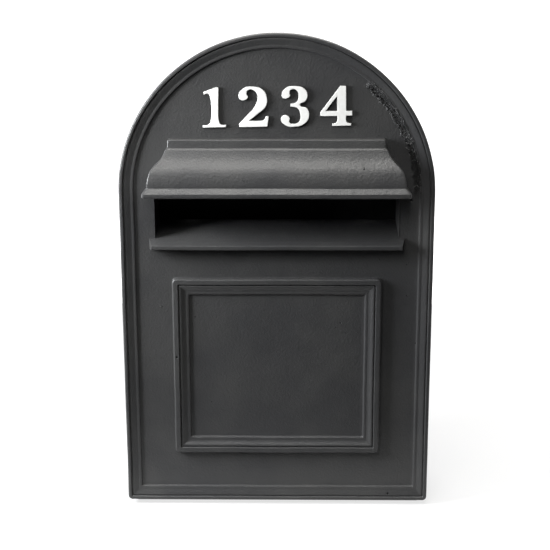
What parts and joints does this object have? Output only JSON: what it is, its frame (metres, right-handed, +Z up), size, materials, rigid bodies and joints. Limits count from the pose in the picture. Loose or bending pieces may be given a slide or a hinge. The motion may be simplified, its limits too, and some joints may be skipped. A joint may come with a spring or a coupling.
{
  "type": "wall mounted post box",
  "caption": "Wall mounted post box: arched cast front that opens as a door, hooded letter slot with a sloping ramp, steel housing with a cam lock on its side.",
  "frame": {"origin": "centre of the bounding box at its bottom, on the surface that the housing stands on", "axes": "+Z up, +Y towards the wall, so the cast front faces -Y; +X is to the right as seen from the front"},
  "size_m": [0.33, 0.165, 0.513],
  "materials": {
    "cast_front": "sand cast, satin black paint",
    "steel_black": "satin black powder coat",
    "zinc_steel": "zinc plated",
    "lock_chrome": "polished",
    "seal_rubber": "matt",
    "white_nylon": "natural nylon"
  },
  "bodies": {
    "housing": {"housing_wrap": "steel_black", "back_plate": "steel_black", "front_frame": "steel_black", "seal_strip": "seal_rubber", "hinge_bracket_lower": "steel_black", "hinge_bracket_upper": "steel_black", "hinge_pin_lower": "zinc_steel", "hinge_pin_upper": "zinc_steel", "pin_clips": "zinc_steel", "hinge_washers": "white_nylon", "lock_barrel": "lock_chrome", "lock_nut": "zinc_steel"},
    "door": {"front_casting": "cast_front", "catch_plate": "zinc_steel", "catch_screws": "zinc_steel"},
    "lock": {"lock_plug": "lock_chrome", "stop_washer": "zinc_steel", "lock_cam": "zinc_steel", "spring_washer": "zinc_steel", "cam_screw": "zinc_steel"}
  },
  "joints": [
    {"name": "door_hinge", "type": "hinge", "parent": "housing", "child": "door", "pos_m": [-0.16175, -0.03155, 0.175], "axis": [0, 0, -1], "range_deg": [0, 110]},
    {"name": "lock_turn", "type": "hinge", "parent": "housing", "child": "lock", "pos_m": [0.15, -0.01355, 0.19], "axis": [-1, 0, 0], "range_deg": [0, 90]}
  ]
}
